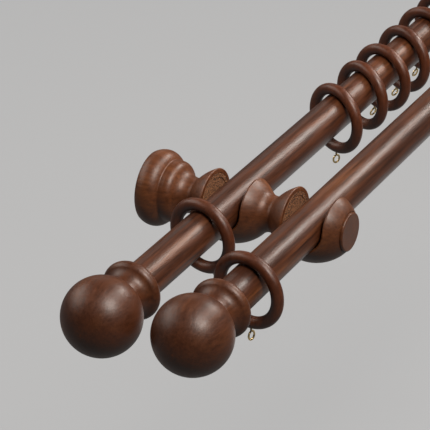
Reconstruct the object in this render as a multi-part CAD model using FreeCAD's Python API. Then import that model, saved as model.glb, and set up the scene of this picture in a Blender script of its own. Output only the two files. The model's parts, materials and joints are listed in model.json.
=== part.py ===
import FreeCAD, Part
import math
import os

# Wooden double curtain pole on two turned brackets. All sizes are in millimetres.
# +X runs along the poles, the wall is the plane Y = 0 with the room at -Y, and +Z is up.
# The origin is on the wall, midway between the brackets, at the height of the bracket axes.

# Poles and their places
POLE_DIAMETER = 28.0
POLE_LENGTH = 1200.0
POLE_END_CHAMFER = 1.0
POLE_SPACING = 66.0
POLE_SHIFT = {"rear": -2.5, "front": 3.8}
POLE_RISE = 3.4
WALL_TO_REAR_POLE = 69.0
BRACKET_INSET = 152.0

# Ball finials: a ball, a short neck, a cove and a broad bead at the end of the pole
BALL_DIAMETER = 56.0
BALL_NECK_DIAMETER = 31.0
BALL_NECK_LENGTH = 3.2
COVE_WIDTH = 8.0
BEAD_WIDTH = 7.8
BEAD_WALL = 7.95
BEAD_BULGE = 1.9
SOCKET_DEPTH = 12.0
SOCKET_CLEARANCE = 0.15

# Bracket base, measured from the wall: a bulged flange, a fillet, a short land and an ogee to the neck
FLANGE_DIAMETER = 58.0
FLANGE_BACK_DIAMETER = 54.0
FLANGE_CREST = 7.0
FLANGE_DEPTH = 16.0
FILLET_WIDTH = 1.3
FILLET_RISE = 0.8
SHOULDER_DIAMETER = 46.4
SHOULDER_LAND = 2.5
SHOULDER_SHARE = 0.40
NECK_DIAMETER = 27.0

# Slotted cradles
CRADLE_DIAMETER = 56.0
BACK_CROWN_SHARE = 0.89
FRONT_CROWN_SHARE = 0.78
SLOT_PLAY = 4.0
SLOT_RIM_ROUND = 1.0
POLE_SEAT_GAP = 0.05
FRONT_REACH = 26.4
FRONT_END_DIAMETER = 30.6
FRONT_RIM_ROUND = 0.3

# Grip pads in the back walls of the slots
PAD_MARGIN = 7.3
PAD_THICKNESS = 2.0
PAD_GAP = 0.3
PAD_BORDER = 3.0
PAD_LINE_WIDTH = 0.8
PAD_LINE_DEPTH = 0.6

# End buttons on the front cradles
BUTTON_DIAMETER = 29.0
BUTTON_PROUD = 2.2
BUTTON_SINK = 2.0
BUTTON_ROUND = 1.1
BUTTON_GAP = 0.3
SPIGOT_DIAMETER = 12.0
SPIGOT_LENGTH = 6.0

# Wall plates in the backs of the bases
PLATE_DIAMETER = 40.0
PLATE_THICKNESS = 3.0
PLATE_CLEARANCE = 0.5
WALL_HOLE_DIAMETER = 4.5
WALL_HOLE_SPACING = 24.0
SCREW_HEAD_ROOM = 3.5

# Hanger bolts, dowels and pole screws
BOLT_DIAMETER = 6.0
BOLT_LENGTH = 49.0
DOWEL_DIAMETER = 5.0
NECK_DOWEL_LENGTH = 26.0
FINIAL_DOWEL_LENGTH = 36.0
DOWEL_POINT = 3.0
SCREW_DIAMETER = 3.5
SCREW_HEAD_DIAMETER = 7.0
SCREW_HEAD_HEIGHT = 2.2
SCREW_SINK = 4.0
SCREW_BITE = 8.0
FASTENER_CLEARANCE = 0.1

# Rings and their screw eyes
RING_PLAY = 12.2
RING_SECTION = 9.0
RING_CLEARANCE = 0.3
EYE_WIRE = 1.5
EYE_LOOP_DIAMETER = 7.8
EYE_NECK = 2.4
EYE_SHANK_LENGTH = 6.0
EYE_CLEARANCE = 0.05

# Places of the rings. The outer ones stand at a share of the free run from cradle to finial.
# The inner ones stand in a row that starts at a distance from a bracket.
# A lean is a share of the most that the pole allows. A spin turns the eye towards the wall, in degrees.
OUTER_SHARE = {"rear": 0.173, "front": 0.678}
OUTER_LEAN = {"rear": 0.38, "front": 0.31}
OUTER_SPIN = {"rear": -20.0, "front": -3.0}
INNER_START = 169.0
INNER_GAPS = [48.5, 38.5, 42.0, 45.0, 35.0]
INNER_LEANS = [0.74, 0.80, 0.55, 0.69, 0.41, 0.48]
INNER_SPINS = [-1.0, 9.0, 16.0, 16.0, 17.0, 15.0]

# Values that follow from the sizes above
POLE_RADIUS = POLE_DIAMETER / 2
BALL_RADIUS = BALL_DIAMETER / 2
BALL_NECK_RADIUS = BALL_NECK_DIAMETER / 2
BALL_NECK_START = math.sqrt(BALL_RADIUS**2 - BALL_NECK_RADIUS**2)
COVE_START = BALL_NECK_START + BALL_NECK_LENGTH
BEAD_START = COVE_START + COVE_WIDTH
FINIAL_REACH = BEAD_START + BEAD_WIDTH
CRADLE_RADIUS = CRADLE_DIAMETER / 2
PAD_RADIUS = CRADLE_RADIUS - PAD_MARGIN
NECK_RADIUS = NECK_DIAMETER / 2
HALF_SPACING = POLE_SPACING / 2
SLOT_HALF = (POLE_DIAMETER + SLOT_PLAY) / 2
SLOT_FLOOR = POLE_RISE - POLE_RADIUS - POLE_SEAT_GAP
SLOT_CENTRE = SLOT_FLOOR + SLOT_HALF
BRACKET_X = POLE_LENGTH / 2 - BRACKET_INSET
FINIAL_X = POLE_LENGTH / 2 - SOCKET_DEPTH + FINIAL_REACH
BASE_LENGTH = WALL_TO_REAR_POLE - HALF_SPACING
SOCKET_RADIUS = POLE_RADIUS + SOCKET_CLEARANCE
BOLT_HOLE = BOLT_DIAMETER / 2 + FASTENER_CLEARANCE
DOWEL_HOLE = DOWEL_DIAMETER / 2 + FASTENER_CLEARANCE
RING_TUBE = RING_SECTION / 2
RING_INNER = (POLE_DIAMETER + RING_PLAY) / 2
RING_RADIUS = RING_INNER + RING_TUBE
RING_OUTER = RING_RADIUS + RING_TUBE
RING_DROP = RING_INNER - POLE_RADIUS - RING_CLEARANCE
LEAN_LIMIT = math.degrees(math.asin(math.sqrt(RING_DROP / RING_RADIUS)))
POLE_DEPTH = {"rear": WALL_TO_REAR_POLE, "front": WALL_TO_REAR_POLE + POLE_SPACING}
SIDES = {"left": -1, "right": 1}

V = FreeCAD.Vector
ORIGIN = V(0, 0, 0)
X_AXIS = V(1, 0, 0)
Y_AXIS = V(0, 1, 0)
Z_AXIS = V(0, 0, 1)


def point(along, radius):
    """A point of a turned outline, along the axis of turning and out from it."""
    return V(along, 0, radius)


def line(start, end):
    return Part.LineSegment(point(*start), point(*end)).toShape()


def polyline(points):
    return [line(start, end) for start, end in zip(points, points[1:])]


def arc_through(start, middle, end):
    return Part.Arc(point(*start), point(*middle), point(*end)).toShape()


def arc_about(centre, start, end):
    """The shorter arc from start to end about a centre."""
    middle = [(s + e) / 2 - c for s, e, c in zip(start, end, centre)]
    scale = math.dist(centre, start) / math.hypot(*middle)
    return arc_through(start, [c + m * scale for c, m in zip(centre, middle)], end)


def level_arc(start, end):
    """The arc that leaves its start along the axis and bends to its end."""
    bend = math.dist(start, end)**2 / (2 * (end[1] - start[1]))
    return arc_about((start[0], start[1] + bend), start, end)


def ogee(crest, foot, share):
    """Two tangent arcs from a crest down to a foot, the first with a share of both radii."""
    meeting = [a + (b - a) * share for a, b in zip(crest, foot)]
    return [level_arc(crest, meeting), level_arc(foot, meeting)]


def turned(edges):
    """A solid turned about the X axis."""
    return Part.Face(Part.Wire(Part.__sortEdges__(edges))).revolve(ORIGIN, X_AXIS, 360)


def into_room(shape):
    """Turns a shape that lies along +X to point from the wall into the room, its seam underneath."""
    shape.rotate(ORIGIN, X_AXIS, 180)
    shape.rotate(ORIGIN, Z_AXIS, -90)
    return shape


def upright(shape):
    """Turns a shape that lies along +X to stand along +Z."""
    shape.rotate(ORIGIN, Y_AXIS, -90)
    return shape


def rod(radius, start, end):
    return Part.makeCylinder(radius, end - start, point(start, 0), X_AXIS)


def placed(shape, x, depth, height):
    return shape.translated(V(x, -depth, height))


def make_dowel(diameter, length):
    """A rod with a point at each end, centred on the origin."""
    half = length / 2
    radius = diameter / 2
    outline = [(-half, 0), (DOWEL_POINT - half, radius), (half - DOWEL_POINT, radius), (half, 0)]
    return turned(polyline(outline + outline[:1]))


def make_pole(shift):
    """Pole with holes for the dowels in its ends and for the pole screws where the brackets are."""
    pole = rod(POLE_RADIUS, -POLE_LENGTH / 2, POLE_LENGTH / 2)
    ends = [edge for edge in pole.Edges if isinstance(edge.Curve, Part.Circle)]
    pole = pole.makeChamfer(POLE_END_CHAMFER, ends)
    dowel_hole = rod(DOWEL_HOLE, -FINIAL_DOWEL_LENGTH / 2, FINIAL_DOWEL_LENGTH / 2)
    for side in SIDES.values():
        pole = pole.cut(dowel_hole.translated(X_AXIS * side * POLE_LENGTH / 2))
        pole = pole.cut(placed(screw_room(), side * BRACKET_X - shift, 0, -POLE_RISE))
    return pole


def make_finial():
    """Finial with a socket for the pole's end and a hole for the dowel, along +X from the ball's centre."""
    bead_top = SOCKET_RADIUS + BEAD_WALL
    bead_foot = bead_top - BEAD_BULGE
    socket_floor = FINIAL_REACH - SOCKET_DEPTH
    hole_end = socket_floor - FINIAL_DOWEL_LENGTH / 2
    tip = (-BALL_RADIUS, 0)
    neck = [(BALL_NECK_START, BALL_NECK_RADIUS), (COVE_START, BALL_NECK_RADIUS)]
    bead = [(BEAD_START, bead_foot), (BEAD_START + BEAD_WIDTH / 2, bead_top), (FINIAL_REACH, bead_foot)]
    socket = [
        (FINIAL_REACH, bead_foot),
        (FINIAL_REACH, SOCKET_RADIUS),
        (socket_floor, SOCKET_RADIUS),
        (socket_floor, DOWEL_HOLE),
        (hole_end, DOWEL_HOLE),
        (hole_end, 0),
        tip,
    ]
    edges = [arc_about((0, 0), tip, neck[0]), level_arc(neck[1], bead[0]), arc_through(*bead)]
    return turned(edges + polyline(neck) + polyline(socket))


def make_base():
    """Base along the bracket's axis, hollowed at the back for the wall plate and its screw heads."""
    shoulder = SHOULDER_DIAMETER / 2
    land_start = FLANGE_DEPTH + FILLET_WIDTH
    recess = PLATE_DIAMETER / 2 + PLATE_CLEARANCE
    recess_floor = PLATE_THICKNESS + SCREW_HEAD_ROOM
    crest = (FLANGE_CREST, FLANGE_DIAMETER / 2)
    front = (FLANGE_DEPTH, shoulder + FILLET_RISE)
    land = [(land_start, shoulder), (land_start + SHOULDER_LAND, shoulder)]
    hollow = [
        (BASE_LENGTH, NECK_RADIUS),
        (BASE_LENGTH, BOLT_HOLE),
        (recess_floor, BOLT_HOLE),
        (recess_floor, recess),
        (0, recess),
        (0, FLANGE_BACK_DIAMETER / 2),
    ]
    edges = [level_arc(crest, hollow[-1]), level_arc(crest, front), level_arc(land[0], front)]
    edges += ogee(land[1], hollow[0], SHOULDER_SHARE)
    return into_room(turned(edges + polyline(land) + polyline(hollow)))


def make_wall_plate():
    plate = rod(PLATE_DIAMETER / 2, 0, PLATE_THICKNESS)
    plate = plate.cut(rod(BOLT_HOLE, 0, PLATE_THICKNESS))
    wall_hole = rod(WALL_HOLE_DIAMETER / 2, 0, PLATE_THICKNESS)
    for way in (-1, 1):
        plate = plate.cut(wall_hole.translated(Z_AXIS * way * WALL_HOLE_SPACING / 2))
    return into_room(plate)


def make_slot():
    """The trough for the pole, with a round floor and upright walls, open at the top."""
    reach = CRADLE_RADIUS
    floor = Part.makeCylinder(SLOT_HALF, 2 * reach, V(-reach, 0, SLOT_CENTRE), X_AXIS)
    walls = Part.makeBox(2 * reach, 2 * SLOT_HALF, 2 * reach, V(-reach, -SLOT_HALF, SLOT_CENTRE))
    return floor.fuse(walls).removeSplitter()


def slot_offset(p):
    """How far a point is from the wall of the trough."""
    if p.z > SLOT_CENTRE:
        return abs(p.y) - SLOT_HALF
    return math.hypot(p.y, p.z - SLOT_CENTRE) - SLOT_HALF


def is_slot_rim(edge):
    """Whether an edge is where the trough's wall meets the outside of the cradle."""
    first, last = edge.ParameterRange
    spots = [edge.valueAt(first + (last - first) * share) for share in (0, 0.3, 0.7, 1)]
    on_wall = all(abs(slot_offset(p)) < POLE_SEAT_GAP / 10 for p in spots)
    return on_wall and not isinstance(edge.Curve, Part.Line)


def pad_room(radius):
    """The upper part of a disc behind the back wall of the trough."""
    chord = SLOT_CENTRE + PAD_RADIUS + PAD_GAP - radius
    disc = Part.makeCylinder(radius, PAD_THICKNESS, V(0, SLOT_HALF, 0), Y_AXIS)
    return disc.common(Part.makeBox(2 * radius, PAD_THICKNESS, radius, V(-radius, SLOT_HALF, chord)))


def make_pad():
    """Pad with a line cut round it inside its border."""
    line_radius = PAD_RADIUS - PAD_BORDER
    line_start = V(0, SLOT_HALF, 0)
    outer = Part.makeCylinder(line_radius, PAD_LINE_DEPTH, line_start, Y_AXIS)
    inner = Part.makeCylinder(line_radius - PAD_LINE_WIDTH, PAD_LINE_DEPTH, line_start, Y_AXIS)
    return pad_room(PAD_RADIUS).cut(outer.cut(inner))


def screw_room():
    """Hole for a pole screw, from under a cradle up into its pole."""
    seat = SCREW_SINK + SCREW_HEAD_HEIGHT - CRADLE_RADIUS
    top = SLOT_FLOOR + SCREW_BITE + FASTENER_CLEARANCE
    head = rod(SCREW_HEAD_DIAMETER / 2 + FASTENER_CLEARANCE, -CRADLE_DIAMETER, seat)
    shank = rod(SCREW_DIAMETER / 2 + FASTENER_CLEARANCE, seat, top)
    return upright(head.fuse(shank))


def make_pole_screw():
    start = SCREW_SINK - CRADLE_RADIUS
    seat = start + SCREW_HEAD_HEIGHT
    top = SLOT_FLOOR + SCREW_BITE
    outline = [
        (start, 0),
        (start, SCREW_HEAD_DIAMETER / 2),
        (seat, SCREW_HEAD_DIAMETER / 2),
        (seat, SCREW_DIAMETER / 2),
        (top - DOWEL_POINT, SCREW_DIAMETER / 2),
        (top, 0),
    ]
    return upright(turned(polyline(outline + outline[:1])))


def flank(way, crown_share):
    """One side of a cradle's outline, from the crown down to the neck."""
    return ogee((0, CRADLE_RADIUS), (way * HALF_SPACING, NECK_RADIUS), crown_share)


def slotted(cradle):
    """Cuts the trough with its rounded rim, the room for the pad and the hole for the pole screw."""
    cradle = cradle.cut(make_slot())
    cradle = cradle.makeFillet(SLOT_RIM_ROUND, [edge for edge in cradle.Edges if is_slot_rim(edge)])
    cradle = cradle.cut(pad_room(PAD_RADIUS + PAD_GAP))
    return cradle.cut(screw_room())


def make_rear_cradle():
    dowel_end = HALF_SPACING - NECK_DOWEL_LENGTH / 2
    bolt_end = BOLT_LENGTH - WALL_TO_REAR_POLE
    inside = [
        (HALF_SPACING, NECK_RADIUS),
        (HALF_SPACING, DOWEL_HOLE),
        (dowel_end, DOWEL_HOLE),
        (dowel_end, 0),
        (bolt_end, 0),
        (bolt_end, BOLT_HOLE),
        (-HALF_SPACING, BOLT_HOLE),
        (-HALF_SPACING, NECK_RADIUS),
    ]
    outside = flank(-1, BACK_CROWN_SHARE) + flank(1, FRONT_CROWN_SHARE)
    return slotted(into_room(turned(outside + polyline(inside))))


def make_front_cradle():
    """The rear cradle's back flank and crown, carried on as a dome with a flat end for the button."""
    end = (FRONT_REACH, FRONT_END_DIAMETER / 2)
    button_hole = BUTTON_DIAMETER / 2 + BUTTON_GAP
    button_seat = FRONT_REACH - BUTTON_SINK
    spigot_hole = SPIGOT_DIAMETER / 2 + FASTENER_CLEARANCE
    spigot_end = button_seat - SPIGOT_LENGTH
    dowel_end = NECK_DOWEL_LENGTH / 2 - HALF_SPACING
    inside = [
        end,
        (FRONT_REACH, button_hole),
        (button_seat, button_hole),
        (button_seat, spigot_hole),
        (spigot_end, spigot_hole),
        (spigot_end, 0),
        (dowel_end, 0),
        (dowel_end, DOWEL_HOLE),
        (-HALF_SPACING, DOWEL_HOLE),
        (-HALF_SPACING, NECK_RADIUS),
    ]
    outside = flank(-1, BACK_CROWN_SHARE) + [level_arc((0, CRADLE_RADIUS), end)]
    cradle = turned(outside + polyline(inside))
    at_end = [e for e in cradle.Edges if e.BoundBox.XMin > FRONT_REACH - BUTTON_GAP]
    rim = max(at_end, key=lambda e: e.Length)
    return slotted(into_room(cradle.makeFillet(FRONT_RIM_ROUND, [rim])))


def make_button():
    """Disc on a spigot, its face rounded at the edge."""
    radius = BUTTON_DIAMETER / 2
    seat = FRONT_REACH - BUTTON_SINK
    face = FRONT_REACH + BUTTON_PROUD
    outline = [
        (face, radius - BUTTON_ROUND),
        (face, 0),
        (seat - SPIGOT_LENGTH, 0),
        (seat - SPIGOT_LENGTH, SPIGOT_DIAMETER / 2),
        (seat, SPIGOT_DIAMETER / 2),
        (seat, radius),
        (face - BUTTON_ROUND, radius),
    ]
    edge = arc_about((face - BUTTON_ROUND, radius - BUTTON_ROUND), outline[-1], outline[0])
    return into_room(turned([edge] + polyline(outline)))


def make_ring():
    """Ring about the X axis with a hole underneath for the eye's shank."""
    ring = Part.makeTorus(RING_RADIUS, RING_TUBE, ORIGIN, X_AXIS)
    hole = rod(EYE_WIRE / 2 + EYE_CLEARANCE, -RING_OUTER, EYE_SHANK_LENGTH - RING_OUTER)
    return ring.cut(upright(hole))


def make_eye():
    """Screw eye under the ring, its loop square to the ring, in six sided wire."""
    wire = EYE_WIRE / 2
    loop_radius = EYE_LOOP_DIAMETER / 2 - wire
    loop_height = -RING_OUTER - EYE_NECK - EYE_LOOP_DIAMETER / 2
    turns = [math.radians(60 * n) for n in range(7)]
    section = Part.makePolygon([V(loop_radius + wire * math.cos(t), wire * math.sin(t), 0) for t in turns])
    loop = Part.Face(section).revolve(ORIGIN, Y_AXIS, 360).translated(Z_AXIS * loop_height)
    shank = upright(rod(wire, loop_height + loop_radius, EYE_SHANK_LENGTH - RING_OUTER))
    return loop.fuse(shank)


def ring_places(pole):
    """Place along the pole, lean and spin of each ring on a pole, from left to right."""
    places = []
    for side in SIDES.values():
        cradle_side = side * (BRACKET_X + CRADLE_RADIUS)
        finial_side = side * (POLE_LENGTH / 2 - SOCKET_DEPTH) + POLE_SHIFT[pole]
        outer = cradle_side + OUTER_SHARE[pole] * (finial_side - cradle_side)
        places.append((outer, side * OUTER_LEAN[pole], OUTER_SPIN[pole]))
    row_side = -1 if pole == "rear" else 1
    for n, (lean, spin) in enumerate(zip(INNER_LEANS, INNER_SPINS)):
        inner = BRACKET_X - INNER_START - sum(INNER_GAPS[:n])
        places.append((row_side * inner, row_side * lean, spin))
    return sorted(places)


def hung(shape, pole, place):
    """A ring or its eye where it hangs on a pole."""
    x, lean, spin = place
    shape = shape.rotated(ORIGIN, X_AXIS, spin)
    shape = shape.rotated(ORIGIN, Z_AXIS, lean * LEAN_LIMIT)
    return placed(shape, x, POLE_DEPTH[pole], POLE_RISE - RING_DROP)


def build():
    """Every piece in place, by name."""
    pieces = {}
    finial_shape = make_finial()
    ring_shape = make_ring()
    eye_shape = make_eye()
    cradles = {"rear": make_rear_cradle(), "front": make_front_cradle()}
    pad = make_pad()
    base = make_base()
    plate = make_wall_plate()
    button = make_button()
    bolt = into_room(rod(BOLT_DIAMETER / 2, 0, BOLT_LENGTH))
    neck_dowel = into_room(make_dowel(DOWEL_DIAMETER, NECK_DOWEL_LENGTH))
    finial_dowel = make_dowel(DOWEL_DIAMETER, FINIAL_DOWEL_LENGTH)
    pole_screw = make_pole_screw()
    groups = {"hanger_bolts": [], "neck_dowels": [], "finial_dowels": [], "pole_screws": []}
    for side, way in SIDES.items():
        x = way * BRACKET_X
        pieces[f"{side}_wall_plate"] = placed(plate, x, 0, 0)
        pieces[f"{side}_bracket_base"] = placed(base, x, 0, 0)
        pieces[f"{side}_end_button"] = placed(button, x, POLE_DEPTH["front"], 0)
        groups["hanger_bolts"].append(placed(bolt, x, 0, 0))
        groups["neck_dowels"].append(placed(neck_dowel, x, WALL_TO_REAR_POLE + HALF_SPACING, 0))
        for pole, depth in POLE_DEPTH.items():
            pieces[f"{side}_{pole}_cradle"] = placed(cradles[pole], x, depth, 0)
            pieces[f"{side}_{pole}_grip_pad"] = placed(pad, x, depth, 0)
            finial = finial_shape.rotated(ORIGIN, Z_AXIS, 90 + 90 * way)
            finial_x = way * FINIAL_X + POLE_SHIFT[pole]
            pole_end = way * POLE_LENGTH / 2 + POLE_SHIFT[pole]
            pieces[f"{side}_{pole}_finial"] = placed(finial, finial_x, depth, POLE_RISE)
            groups["finial_dowels"].append(placed(finial_dowel, pole_end, depth, POLE_RISE))
            groups["pole_screws"].append(placed(pole_screw, x, depth, 0))
    for pole, depth in POLE_DEPTH.items():
        shift = POLE_SHIFT[pole]
        pieces[f"{pole}_pole"] = placed(make_pole(shift), shift, depth, POLE_RISE)
        for n, place in enumerate(ring_places(pole), 1):
            pieces[f"{pole}_ring_{n}"] = hung(ring_shape, pole, place)
            pieces[f"{pole}_eye_{n}"] = hung(eye_shape, pole, place)
    for name, solids in groups.items():
        pieces[name] = Part.makeCompound(solids)
    return pieces


os.makedirs("parts", exist_ok=True)
for name, shape in build().items():
    shape.exportStep(f"parts/{name}.step")
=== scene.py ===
import json
import math

import bpy
from mathutils import Matrix, Vector


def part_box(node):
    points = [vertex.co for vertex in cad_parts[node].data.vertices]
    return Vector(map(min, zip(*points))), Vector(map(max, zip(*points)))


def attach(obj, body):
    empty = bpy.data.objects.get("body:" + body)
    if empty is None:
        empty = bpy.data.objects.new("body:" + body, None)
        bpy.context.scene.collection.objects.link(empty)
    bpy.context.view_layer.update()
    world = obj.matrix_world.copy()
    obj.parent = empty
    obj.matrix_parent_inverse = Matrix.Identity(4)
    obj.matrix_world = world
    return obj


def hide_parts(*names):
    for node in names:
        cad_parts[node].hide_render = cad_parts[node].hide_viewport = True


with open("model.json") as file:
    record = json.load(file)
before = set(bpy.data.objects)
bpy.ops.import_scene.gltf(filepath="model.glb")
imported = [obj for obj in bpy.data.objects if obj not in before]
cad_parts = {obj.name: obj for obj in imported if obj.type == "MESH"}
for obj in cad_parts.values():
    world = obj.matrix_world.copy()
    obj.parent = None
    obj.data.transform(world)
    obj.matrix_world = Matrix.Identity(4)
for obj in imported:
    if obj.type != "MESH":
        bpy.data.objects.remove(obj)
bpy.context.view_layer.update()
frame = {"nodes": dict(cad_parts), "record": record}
nodes = frame["nodes"]
mounts = {mount["name"]: mount for mount in frame["record"]["mounts"]}
scene = bpy.context.scene

# Places of the colour sockets among all sockets of a mix node
MIX_FACTOR, MIX_A, MIX_B, MIX_RESULT = 0, 6, 7, 2


class Shader:
    """A material's or world's node tree, with inputs given as values or as other nodes' sockets."""

    def __init__(self, name, kept_in=bpy.data.materials):
        self.owner = kept_in.new(name)
        self.owner.use_nodes = True
        self.tree = self.owner.node_tree
        self.tree.nodes.clear()

    def feed(self, socket, value):
        """Links an input or sets it to a constant. Constant colours are given without alpha."""
        if isinstance(value, bpy.types.NodeSocket):
            self.tree.links.new(value, socket)
        elif socket.type == "RGBA":
            socket.default_value = (*value, 1)
        else:
            socket.default_value = value

    def add(self, kind, inputs=None, out=0, **settings):
        """Adds a node and gives one of its outputs."""
        node = self.tree.nodes.new("ShaderNode" + kind)
        for key, value in settings.items():
            setattr(node, key, value)
        for key, value in (inputs or {}).items():
            self.feed(node.inputs[key], value)
        return node.outputs[out] if node.outputs else None

    def coords(self, scale=(1, 1, 1), rotation=(0, 0, 0)):
        """The object's own coordinates, stretched and turned."""
        place = self.add("TexCoord", out="Object")
        return self.add("Mapping", {"Vector": place, "Scale": scale, "Rotation": rotation})

    def noise(self, vector, scale, detail, rough=0.5, distortion=0):
        return self.add("TexNoise", {
            "Vector": vector,
            "Scale": scale,
            "Detail": detail,
            "Roughness": rough,
            "Distortion": distortion,
        })

    def ramp(self, factor, stops):
        """Colours or greys along a factor: stops are (place, colour)."""
        node = self.tree.nodes.new("ShaderNodeValToRGB")
        self.tree.links.new(factor, node.inputs[0])
        points = node.color_ramp.elements
        while len(points) < len(stops):
            points.new(0.5)
        for point, (place, colour) in zip(points, stops):
            point.position = place
            point.color = (*colour, 1) if isinstance(colour, tuple) else (colour, colour, colour, 1)
        return node.outputs[0]

    def span(self, value, before, after):
        """Maps one range of values to another: both are (lowest, highest)."""
        return self.add("MapRange", {
            "Value": value,
            "From Min": before[0],
            "From Max": before[1],
            "To Min": after[0],
            "To Max": after[1],
        })

    def calculate(self, operation, a, b):
        return self.add("Math", {0: a, 1: b}, operation=operation)

    def mix(self, share, a, b, blend="MIX"):
        inputs = {MIX_FACTOR: share, MIX_A: a, MIX_B: b}
        return self.add("Mix", inputs, MIX_RESULT, data_type="RGBA", blend_type=blend)

    def multiply(self, colour, by, share):
        return self.mix(share, colour, by, "MULTIPLY")

    def bump(self, height, strength, distance, over=None):
        """A normal for relief, on top of another relief's normal where one is given."""
        inputs = {"Height": height, "Strength": strength, "Distance": distance}
        if over is not None:
            inputs["Normal"] = over
        return self.add("Bump", inputs)

    def finish(self, inputs):
        surface = self.add("BsdfPrincipled", inputs)
        self.add("OutputMaterial", {"Surface": surface})
        return self.owner


# Materials

# Stains as dark, middle and light streaks
WALNUT = ((0.022, 0.0058, 0.0020), (0.062, 0.0175, 0.0056), (0.150, 0.0510, 0.0150))
CHESTNUT = ((0.034, 0.0092, 0.0032), (0.096, 0.0290, 0.0088), (0.185, 0.0650, 0.0200))
RUSSET = ((0.036, 0.0088, 0.0028), (0.080, 0.0205, 0.0066), (0.135, 0.0390, 0.0130))
SCUFF_COLOUR = (0.22, 0.13, 0.09)
SCUFF_TURN = (0.4, 0.3, 0.7)
SCUFF_SHARE = 0.16
SCUFF_ROUGHNESS = 0.12
LACQUER_TINT = (1.0, 0.94, 0.91)
PAD_CREST = (0.34, 0.150, 0.062)
PAD_SLOPE = (0.20, 0.082, 0.032)
PAD_GROOVE = (0.035, 0.013, 0.006)
BRASS = (0.95, 0.72, 0.34)
ZINC = (0.58, 0.58, 0.56)
TARNISH_SHADE = 0.6
# Most values of a noise texture lie in this range
NOISE_RANGE = (0.3, 0.7)


def wood(name, stretch, stain, figured):
    """Stained, lacquered wood with its grain along the axis where the stretch is small."""
    shader = Shader(name)
    dark, middle, light = stain
    grain = shader.coords(stretch)
    figure = shader.noise(grain, scale=55, detail=3, rough=0.55, distortion=0.6)
    fibre = shader.noise(grain, scale=420, detail=5, rough=0.65)
    pores = shader.noise(grain, scale=900, detail=2)
    cloud = shader.noise(shader.coords(), scale=22, detail=3)
    scuff = shader.noise(shader.coords(rotation=SCUFF_TURN), scale=260, detail=6, rough=0.7)
    scuffed = shader.ramp(scuff, [(0.66, 0.0), (0.74, 1.0)])

    colour = shader.ramp(figure, [(0.25, dark), (0.5, middle), (0.75, light)])
    colour = shader.mix(figured, middle, colour)
    streak = shader.ramp(fibre, [(0.34, 0.42), (0.5, 1.0), (0.66, 1.5)])
    colour = shader.multiply(colour, streak, share=figured)
    pore = shader.ramp(pores, [(0.33, 0.55), (0.42, 1.0)])
    colour = shader.multiply(colour, pore, share=0.5)
    shade = shader.ramp(cloud, [(0.3, 0.82), (0.7, 1.15)])
    colour = shader.multiply(colour, shade, share=0.8)
    colour = shader.mix(shader.calculate("MULTIPLY", scuffed, SCUFF_SHARE), colour, SCUFF_COLOUR)

    rough = shader.span(fibre, NOISE_RANGE, (0.36, 0.48))
    rough = shader.calculate("ADD", rough, shader.calculate("MULTIPLY", scuffed, SCUFF_ROUGHNESS))
    normal = shader.bump(fibre, strength=0.25, distance=0.0004)
    normal = shader.bump(pores, strength=0.12, distance=0.0003, over=normal)
    normal = shader.bump(cloud, strength=0.08, distance=0.0012, over=normal)
    return shader.finish({
        "Base Color": colour,
        "Roughness": rough,
        "Normal": normal,
        "Specular IOR Level": 0.5,
        "Specular Tint": LACQUER_TINT,
    })


def pad(name):
    """Brown textured grip pad."""
    shader = Shader(name)
    weave = shader.add("TexVoronoi", {"Vector": shader.coords(), "Scale": 900}, feature="F1")
    grit = shader.noise(shader.coords(), scale=1500, detail=3, rough=0.6)
    colour = shader.ramp(weave, [(0.0, PAD_CREST), (0.45, PAD_SLOPE), (0.8, PAD_GROOVE)])
    speckle = shader.ramp(grit, [(0.3, 0.6), (0.7, 1.3)])
    colour = shader.multiply(colour, speckle, share=0.6)
    rough = shader.span(grit, NOISE_RANGE, (0.55, 0.8))
    normal = shader.bump(weave, strength=0.7, distance=0.0008)
    normal = shader.bump(grit, strength=0.3, distance=0.0003, over=normal)
    return shader.finish({"Base Color": colour, "Roughness": rough, "Normal": normal})


def metal(name, tint, roughness):
    """Plated metal with a little tarnish and fine scratches."""
    shader = Shader(name)
    tarnish = shader.noise(shader.coords(), scale=300, detail=4, rough=0.6)
    scratch = shader.noise(shader.coords(scale=(1, 1, 12)), scale=900, detail=3)
    dull = tuple(part * TARNISH_SHADE for part in tint)
    colour = shader.ramp(tarnish, [(0.3, dull), (0.6, tint)])
    rough = shader.span(scratch, NOISE_RANGE, roughness)
    normal = shader.bump(scratch, strength=0.15, distance=0.0002)
    return shader.finish({"Base Color": colour, "Roughness": rough, "Metallic": 1.0, "Normal": normal})


bracket_wood = wood("bracket_wood", stretch=(1, 0.06, 1), stain=CHESTNUT, figured=0.5)
brass = metal("brass", BRASS, roughness=(0.22, 0.36))
zinc = metal("zinc_steel", ZINC, roughness=(0.3, 0.5))
# Materials by a word in the node's name. The other nodes are zinc plated fasteners and plates.
finishes = {
    "_ring_": wood("ring_wood", stretch=(1, 1, 0.25), stain=RUSSET, figured=0.5),
    "_eye_": brass,
    "_pad": pad("grip_pad"),
    "_cradle": bracket_wood,
    "_base": bracket_wood,
    "_button": bracket_wood,
    "_finial": wood("finial_wood", stretch=(0.12, 1, 1), stain=WALNUT, figured=0.4),
    "_pole": wood("pole_wood", stretch=(0.06, 1, 1), stain=WALNUT, figured=0.9),
}
for name, node in nodes.items():
    matching = [material for word, material in finishes.items() if word in name]
    node.data.materials.clear()
    node.data.materials.append(matching[0] if matching else zinc)


# Screw eyes in round wire, lengths in metres

WIRE_SIDES = 12
# Heights of the shank's ends above the loop
SHANK_TOP = 0.0068
SHANK_FOOT = 0.0002
LOOP_START = math.radians(22)
LOOP_SWEEP = math.radians(318)
LOOP_STEPS = 40
MM_PER_METRE = 1000


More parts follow.
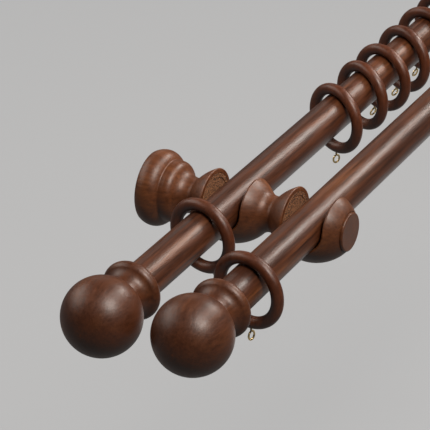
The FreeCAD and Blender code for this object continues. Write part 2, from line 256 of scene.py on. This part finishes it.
def tube(points, radius):
    """Vertices and faces of a round wire along a path, with closed ends."""
    verts, faces = [], []
    side = None
    for i, point in enumerate(points):
        ahead = (points[min(i + 1, len(points) - 1)] - points[max(i - 1, 0)]).normalized()
        if side is None:
            side = ahead.orthogonal().normalized()
        side = (side - ahead * side.dot(ahead)).normalized()
        other = ahead.cross(side)
        for k in range(WIRE_SIDES):
            turn = 2 * math.pi * k / WIRE_SIDES
            verts.append(point + (side * math.cos(turn) + other * math.sin(turn)) * radius)
    for start in range(0, len(verts) - WIRE_SIDES, WIRE_SIDES):
        for k in range(WIRE_SIDES):
            a, b = start + k, start + (k + 1) % WIRE_SIDES
            faces.append((a, b, b + WIRE_SIDES, a + WIRE_SIDES))
    faces.append(tuple(reversed(range(WIRE_SIDES))))
    faces.append(tuple(range(len(verts) - WIRE_SIDES, len(verts))))
    return verts, faces


def screw_eye(node):
    """A wire shank that bends into an open loop, where the record's hook mount says."""
    ring = node.replace("eye", "ring")
    mount = mounts[node + "_hook"]
    centre = Vector(mount["pos_m"])
    axis = Vector(mount["axis"]).normalized()
    low_corner, high_corner = (Vector(corner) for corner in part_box(ring))
    up = ((low_corner + high_corner) / 2 - centre).normalized()
    across = up.cross(axis).normalized()
    wire = mount["dims"]["length_mm"] / MM_PER_METRE / 2
    radius = mount["dims"]["r_mm"] / MM_PER_METRE + wire
    path = [centre + up * (radius + rise) for rise in (SHANK_TOP, SHANK_FOOT)]
    for step in range(LOOP_STEPS + 1):
        turn = LOOP_START + LOOP_SWEEP * step / LOOP_STEPS
        path.append(centre + (up * math.cos(turn) + across * math.sin(turn)) * radius)
    verts, faces = tube(path, wire)
    mesh = bpy.data.meshes.new(node + "_wire")
    mesh.from_pydata(verts, [], faces)
    mesh.polygons.foreach_set("use_smooth", [True] * len(mesh.polygons))
    mesh.materials.append(brass)
    eye = bpy.data.objects.new(node + "_wire", mesh)
    scene.collection.objects.link(eye)
    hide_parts(node)
    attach(eye, ring + "_body")


for name in [name for name in nodes if "_eye_" in name]:
    screw_eye(name)


# Floor and surroundings

PALE = 0.42
FLOOR_TINT = (0.08, 0.08, 0.08)
FLOOR_MIRRORED = 0.35
FLOOR_WIDTH = 60
FLOOR_HEIGHT = -0.7
WORLD_MIRRORED = 0.1
WORLD_LEVEL = 0.015
WHITE = (1, 1, 1)


def paleness(shader, mirrored):
    """How pale the surroundings look: fully to the camera and through glass, partly in reflections."""
    camera, glossy, through = (
        shader.add("LightPath", out=f"Is {kind} Ray") for kind in ("Camera", "Glossy", "Transmission")
    )
    direct = shader.calculate("MAXIMUM", camera, through)
    reflected = shader.calculate("MULTIPLY", glossy, mirrored)
    return shader.calculate("MULTIPLY", shader.calculate("MAXIMUM", direct, reflected), PALE)


def backdrop(name):
    """Matt surface that keeps shadows, and that looks paler to the camera and in reflections."""
    shader = Shader(name)
    cloud = shader.noise(shader.coords(), scale=3, detail=2)
    shade = shader.ramp(cloud, [(0.3, 0.985), (0.7, 1.0)])
    colour = shader.multiply(FLOOR_TINT, shade, share=1.0)
    matt = shader.add("BsdfDiffuse", {"Color": colour, "Roughness": 0.5})
    glow = shader.add("Emission", {"Color": WHITE, "Strength": paleness(shader, FLOOR_MIRRORED)})
    surface = shader.add("AddShader", {0: matt, 1: glow})
    shader.add("OutputMaterial", {"Surface": surface})
    return shader.owner


def surroundings(name):
    """World that lights the part weakly, and that looks as pale as the floor does."""
    shader = Shader(name, bpy.data.worlds)
    strength = shader.calculate("MAXIMUM", paleness(shader, WORLD_MIRRORED), WORLD_LEVEL)
    background = shader.add("Background", {"Color": WHITE, "Strength": strength})
    shader.add("OutputWorld", {"Surface": background})
    return shader.owner


def add_floor(name):
    half = FLOOR_WIDTH / 2
    corners = [(-half, -half, 0), (half, -half, 0), (half, half, 0), (-half, half, 0)]
    mesh = bpy.data.meshes.new(name)
    mesh.from_pydata(corners, [], [(0, 1, 2, 3)])
    mesh.materials.append(backdrop(name))
    floor = bpy.data.objects.new(name, mesh)
    floor.location = (0, 0, FLOOR_HEIGHT)
    scene.collection.objects.link(floor)


add_floor("floor")
scene.world = surroundings("studio")


# Lights, with positions and sizes in metres and power in watts

LEFT_BRACKET = (-0.42, -0.10, 0)
RIGHT_OF_MIDDLE = (0.36, -0.10, 0)
PAST_RIGHT_END = (0.85, -0.10, 0)
NEAR_MIDDLE = (-0.1, -0.05, 0)
WARM = (1, 0.93, 0.87)


def area_light(name, position, target, size, power, colour=WARM):
    """Rectangular soft light, which the camera doesn't see."""
    data = bpy.data.lights.new(name, "AREA")
    data.shape = "RECTANGLE"
    data.size, data.size_y = size
    data.energy = power
    data.color = colour
    light = bpy.data.objects.new(name, data)
    light.location = position
    light.rotation_euler = (Vector(target) - Vector(position)).to_track_quat("-Z", "Y").to_euler()
    light.visible_camera = False
    scene.collection.objects.link(light)
    return light


area_light("key", (0.36, -0.90, 1.58), RIGHT_OF_MIDDLE, size=(2.5, 0.40), power=26)
area_light("key_near", (-0.93, -1.18, 1.57), LEFT_BRACKET, size=(0.50, 0.60), power=34)
area_light("key_far", (0.85, -0.50, 0.90), PAST_RIGHT_END, size=(0.6, 0.30), power=16)
area_light("back", (-0.60, 1.60, 1.20), NEAR_MIDDLE, size=(2.0, 1.0), power=20)
area_light("back_far", (0.95, 0.90, 0.70), LEFT_BRACKET, size=(0.8, 0.5), power=1.2)
low = area_light("low", (0.40, 0.02, -0.60), LEFT_BRACKET, size=(0.90, 0.40), power=0.7, colour=WHITE)
# The low light gives a sheen on the undersides, and no patch of light on the floor.
low.visible_diffuse = False


# Camera at the photo's viewing angle

AZIMUTH = math.radians(-60.39)
ELEVATION = math.radians(28.05)
ROLL = math.radians(-1.5)
AIM = Vector((-0.448, -0.109, 0.0034))
SHIFT_RIGHT = -0.04901
SHIFT_UP = -0.00202
DISTANCE = 1.5707
SENSOR_MM = 36
LENS_MM = 181.9
NEAREST, FARTHEST = 0.05, 200

right = Vector((math.cos(AZIMUTH), math.sin(AZIMUTH), 0))
back = Vector((
    math.sin(AZIMUTH) * math.cos(ELEVATION),
    -math.cos(AZIMUTH) * math.cos(ELEVATION),
    math.sin(ELEVATION),
))
up = back.cross(right)
turned_right = right * math.cos(ROLL) + up * math.sin(ROLL)
turned_up = up * math.cos(ROLL) - right * math.sin(ROLL)
place = AIM + turned_right * SHIFT_RIGHT + turned_up * SHIFT_UP + back * DISTANCE
turn = Matrix((turned_right, turned_up, back)).transposed().to_4x4()
camera_data = bpy.data.cameras.new("camera")
camera_data.sensor_width = SENSOR_MM
camera_data.lens = LENS_MM
camera_data.clip_start = NEAREST
camera_data.clip_end = FARTHEST
camera = bpy.data.objects.new("camera", camera_data)
camera.matrix_world = Matrix.Translation(place) @ turn
scene.collection.objects.link(camera)
scene.camera = camera
scene.view_settings.view_transform = "Standard"
